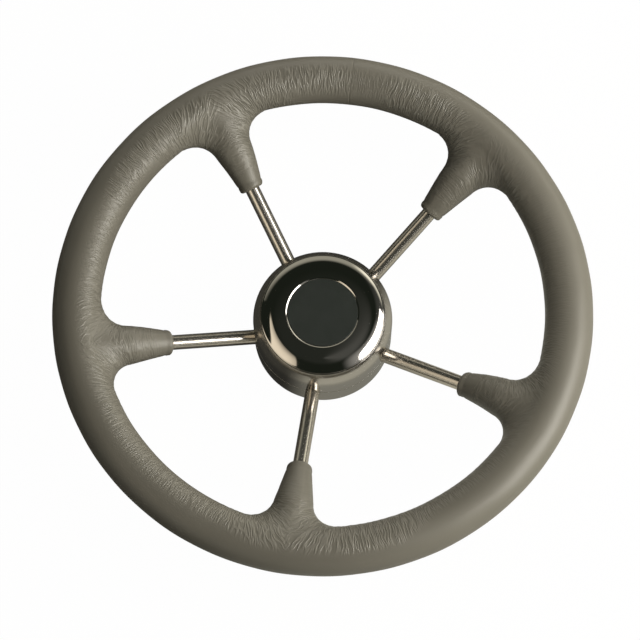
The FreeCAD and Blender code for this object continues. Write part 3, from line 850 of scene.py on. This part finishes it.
# The studio round the wheel, which only the steel sees: a glowing dome that paints the
# steel's reflections, nearly black above and a warm wall at its foot, with a white softbox
# at the right of the photograph and a cream reflector at the left. Its angles are degrees in the
# photograph.
def toward(azimuth, elevation, distance):
    """A point in that direction of the photograph, in degrees, from the hub."""
    turn = math.radians(azimuth) + PHOTO_TURN
    rise = math.radians(elevation)
    return Vector((
        math.cos(turn) * math.cos(rise), math.sin(turn) * math.cos(rise), math.sin(rise)
    )) * distance


def stage_piece(name, points, faces, finish):
    """A piece of the studio, which isn't part of the wheel."""
    mesh = bpy.data.meshes.new(name)
    mesh.from_pydata([tuple(point) for point in points], [], faces)
    mesh.materials.append(finish.material)
    made = bpy.data.objects.new(name, mesh)
    bpy.context.scene.collection.objects.link(made)
    made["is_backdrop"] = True
    return made


DOME_R = 4.0
NEAR_BLACK = (0.016, 0.02, 0.0152)
WALL_CREAM = (1.0, 0.985, 0.85)
CARD_CREAM = (1.0, 0.90, 0.74)
SOFT_WHITE = (1.0, 0.995, 0.985)
surroundings = Finish(
    "surroundings", (0.0, 0.0, 0.0),
    Roughness=1.0, Specular_IOR_Level=0.0, Emission_Strength=1.0,
)
surroundings.material.cycles.emission_sampling = "NONE"
x, y, z = surroundings.place()
azimuth = surroundings.sum_of("ARCTAN2", y, x) * (180.0 / math.pi)
azimuth_left = surroundings.sum_of("WRAP", azimuth, 360.0, 0.0)
elevation = surroundings.sum_of("ARCSINE", z * (1.0 / DOME_R)) * (180.0 / math.pi)
fades = surroundings.between

# The softbox: an ellipse that leans to the left, cut off at its foot and at its right,
# with a soft halo round it.
BOX_TURN, BOX_RISE, BOX_LEAN = -10.0, 27.0, 0.35
BOX_BELOW, BOX_ABOVE, BOX_HALF_HIGH = 30.0, 60.0, 23.0
from_box = azimuth - BOX_TURN
lifted = elevation - BOX_RISE + from_box * BOX_LEAN
box_width = fades(azimuth, -12.0, -8.0, 1.0 / BOX_BELOW, 1.0 / BOX_ABOVE)
off_box = (from_box * box_width) ** 2.0 + (lifted * (1.0 / BOX_HALF_HIGH)) ** 2.0
softbox = (
    fades(off_box, 1.05, 0.93) * fades(elevation, 13.0, 18.0)
    * fades(azimuth, 26.0, 22.0) * fades(elevation - azimuth * 0.5, 19.5, 21.5)
)
halo = fades(off_box, 3.2, 0.8) * fades(azimuth, 22.0, 4.0, 0.15, 1.0)
haze = fades(elevation, 60.0, 78.0) * fades(abs(azimuth), 90.0, 30.0, 0.15, 1.0)

# The reflector: a bent card between two parabolas of elevation over the angle round the
# wheel, the upper one with a steeper end. It fades upwards.
CARD_START, CARD_MIDDLE, CARD_DROOPS = 155.0, 202.0, 213.0
CARD_FOOT, CARD_HEAD = 50.5, 66.5
from_start = azimuth_left - CARD_START
card_low = CARD_FOOT - from_start * 0.13 - from_start * from_start * 0.0055
drooped = surroundings.sum_of("MAXIMUM", azimuth_left - CARD_DROOPS, 0.0)
card_top = CARD_HEAD - (azimuth_left - CARD_MIDDLE) ** 2.0 * 0.0038
card_top = card_top - drooped * drooped * 0.04
card = (
    fades(elevation - card_low, -1.0, 2.0) * fades(elevation - card_top, 2.5, -2.5)
    * fades(azimuth_left, 150.0, 162.0) * fades(azimuth_left, 258.0, 214.0)
    * fades(elevation, 76.0, 42.0) * fades(elevation, 20.0, 26.0)
)

# The wall: about thirty degrees high, and low beside the softbox and where a dark flag
# stands at the left. A part of it at the upper right is lit, and a glint is low down.
WALL_RISE, FLAG_DROP, BOX_DROP = 31.0, 17.0, 9.0
WALL_FADE, WALL_LEVEL = 13.0, 0.46
FLAG_TURN, BESIDE_TURN, LIT_TURN = 167.0, 25.0, 46.0
GLINT_TURN, GLINT_RISE, GLINT_HALF_WIDE, GLINT_HALF_HIGH = 289.0, 27.0, 16.0, 14.0
at_flag = 1.0 - fades(abs(azimuth_left - FLAG_TURN), 15.0, 19.0)
beside_box = fades(abs(azimuth - BESIDE_TURN), 24.0, 15.0)
wall_top = WALL_RISE - at_flag * FLAG_DROP - beside_box * BOX_DROP
wall = fades(elevation - wall_top, 0.0, -WALL_FADE) * WALL_LEVEL
lit_wall = fades(abs(azimuth - LIT_TURN), 25.0, 10.0)
lit_wall = lit_wall * fades(elevation + azimuth * 0.18, 34.5, 30.5)
glint_across = (azimuth_left - GLINT_TURN) * (1.0 / GLINT_HALF_WIDE)
glint_up = (elevation - GLINT_RISE) * (1.0 / GLINT_HALF_HIGH)
glint = fades(glint_across ** 2.0 + glint_up ** 2.0, 1.0, 0.1)


def added(start, *glows):
    """A colour, and on it each glow: its share times its colour times its strength."""
    total = start
    for share, colour, strength in glows:
        full = tuple(part * strength for part in colour)
        glow = surroundings.tint(share, (0.0, 0.0, 0.0), full)
        total = surroundings.node("VectorMath", {"operation": "ADD"}, s0=total, s1=glow)
    return total


surroundings.feed(Emission_Color=added(
    NEAR_BLACK,
    (haze, SOFT_WHITE, 0.09),
    (wall, WALL_CREAM, 1.0),
    (lit_wall, WALL_CREAM, 1.1),
    (card, CARD_CREAM, 1.3),
    (glint, SOFT_WHITE, 0.22),
    (halo, SOFT_WHITE, 0.4),
    (softbox, SOFT_WHITE, 6.0),
))
ROUND_STEPS, RISE_STEPS = 96, 39
turns = np.linspace(0.0, math.tau, ROUND_STEPS, endpoint=False)
rises = np.radians(np.linspace(-1.0, 90.0, RISE_STEPS + 1))
turn, rise = np.meshgrid(turns, rises, indexing="ij")
dome_points = DOME_R * np.stack(
    [np.cos(turn) * np.cos(rise), np.sin(turn) * np.cos(rise), np.sin(rise)], axis=-1
)
ids = np.arange(turn.size).reshape(turn.shape)
beside = np.roll(ids, -1, axis=0)
dome_faces = np.stack([ids[:, :-1], ids[:, 1:], beside[:, 1:], beside[:, :-1]], axis=-1)
dome = stage_piece(
    "surroundings", dome_points.reshape(-1, 3), dome_faces.reshape(-1, 4).tolist(), surroundings
)
dome.rotation_euler = (0.0, 0.0, PHOTO_TURN)
dome.visible_camera = False
dome.visible_diffuse = False
dome.visible_shadow = False
dome.visible_transmission = False


# The table that the hub stands on. It is dull and keeps the wheel's shadow, and it is
# nearly white in the picture. The steel sees a glow in its place, with painted shade near
# the hub and on the far side, and painted light towards the side that is lit.
TABLE_DULL = (0.20, 0.19, 0.17)
TABLE_HALF = 9.0
PICTURE_WHITE = (1.0, 1.0, 1.0, 1.0)
WHITE_SHARE, WHITE_LEVEL = 0.92, 1.07
FAR_LEVEL, LIT_LEVEL = 0.06, 0.52
HUB_SHADE_R, HUB_CLEAR_R = 45.0 * MM, 100.0 * MM
LIT_SIDE = math.radians(-40.0) + PHOTO_TURN
table = Finish("table", TABLE_DULL, Roughness=1.0, Specular_IOR_Level=0.0)
to_camera = table.node("LightPath", output="Is Camera Ray")
to_steel = table.node("LightPath", output="Is Glossy Ray")
x, y, z = table.place()
from_hub = (x * x + y * y) ** 0.5
to_lit_side = (x * math.cos(LIT_SIDE) + y * math.sin(LIT_SIDE)) / (from_hub + MM)
# Painted shade and light on the table, which only the steel sees: dim on the far side and near the
# hub, lighter towards the lit side.
painted_light_level = table.between(to_lit_side, 0.0, 0.65, FAR_LEVEL, LIT_LEVEL)
painted_light_level = painted_light_level * table.between(from_hub, HUB_SHADE_R, HUB_CLEAR_R, 0.5, 1.0)
painted_light_colour = table.tint(painted_light_level, (0.0, 0.0, 0.0), WALL_CREAM)
painted_table_glow = table.node("Emission", Color=painted_light_colour, Strength=1.0)
white = table.node("Emission", Color=PICTURE_WHITE, Strength=WHITE_LEVEL)
dull = Flow(table, table.shader.outputs["BSDF"])
lit = table.node("MixShader", s0=to_steel, s1=dull, s2=painted_table_glow)
shown = table.node("MixShader", s0=to_camera * WHITE_SHARE, s1=lit, s2=white)
table.tree.links.new(shown.socket, table.tree.nodes["Material Output"].inputs["Surface"])
stage_piece(
    "floor",
    [(a * TABLE_HALF, b * TABLE_HALF, 0.0) for a, b in ((-1, -1), (1, -1), (1, 1), (-1, 1))],
    [(0, 1, 2, 3)], table,
)


# The light on the wheel: four soft rectangular lamps that look at it and that steel
# doesn't mirror, and a world that is white in the picture and gives very little light.
LAMP_WARM = (1.0, 0.985, 0.955)
WORLD_WHITE = (1.0, 0.99, 0.97, 1.0)
WORLD_GLOW = 0.03


def lamp(name, azimuth, elevation, distance, size, power):
    """A lamp in that direction of the photograph: sizes and distance in metres."""
    data = bpy.data.lights.new(name, "AREA")
    data.shape = "RECTANGLE"
    data.size, data.size_y = size
    data.energy = power
    data.color = LAMP_WARM
    made = bpy.data.objects.new(name, data)
    bpy.context.scene.collection.objects.link(made)
    made.location = toward(azimuth, elevation, distance)
    made.rotation_euler = (-made.location).to_track_quat("-Z", "Y").to_euler()
    made.visible_camera = False
    made.visible_glossy = False


lamp("key", -14.0, 25.0, 1.4, size=(1.15, 0.95), power=18.4)
lamp("key_above", -5.0, 60.0, 1.4, size=(1.0, 0.95), power=6.5)
lamp("overhead", 88.0, 15.0, 1.1, size=(0.8, 0.5), power=5.4)
lamp("low_fill", 232.0, 15.0, 1.4, size=(1.0, 0.6), power=1.6)

world = bpy.data.worlds.new("studio")
bpy.context.scene.world = world
world.use_nodes = True
world_nodes = Nodes(world.node_tree)
seen = world_nodes.node("LightPath", output="Is Camera Ray")
level = world_nodes.between(seen, 0.0, 1.0, WORLD_GLOW, 1.0)
background = world.node_tree.nodes["Background"]
background.inputs["Color"].default_value = WORLD_WHITE
world.node_tree.links.new(level.socket, background.inputs["Strength"])


# The camera stands below the wheel's middle in the picture and looks up at its face,
# about seventeen degrees off its axis. Its place, its lens and its tilt were fitted to
# the rim, the rods and the hub in the photograph.
SENSOR_MM = 36.0
PICTURE_PIXELS = 640.0
FOCAL_PIXELS = 2471.76
TILT_X, TILT_Y = -0.2890, -0.0038
STAND_MM = Vector((-1.6494, -6.9727, 1568.38))
lens = bpy.data.cameras.new("photo_camera")
lens.sensor_width = SENSOR_MM
lens.lens = FOCAL_PIXELS * SENSOR_MM / PICTURE_PIXELS
camera = bpy.data.objects.new("photo_camera", lens)
bpy.context.scene.collection.objects.link(camera)
tilt = Matrix.Rotation(TILT_X, 3, "X") @ Matrix.Rotation(TILT_Y, 3, "Y")
pose = tilt.transposed().to_4x4()
pose.translation = (tilt.transposed() @ STAND_MM + Vector((0.0, 0.0, DISH / MM))) * MM
camera.matrix_world = Matrix.Rotation(PHOTO_TURN, 4, "Z") @ pose
bpy.context.scene.camera = camera
bpy.context.scene.view_settings.view_transform = "Standard"

shown_box = [list(corner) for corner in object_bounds()]
{"cad": packed_box, "visual": shown_box}
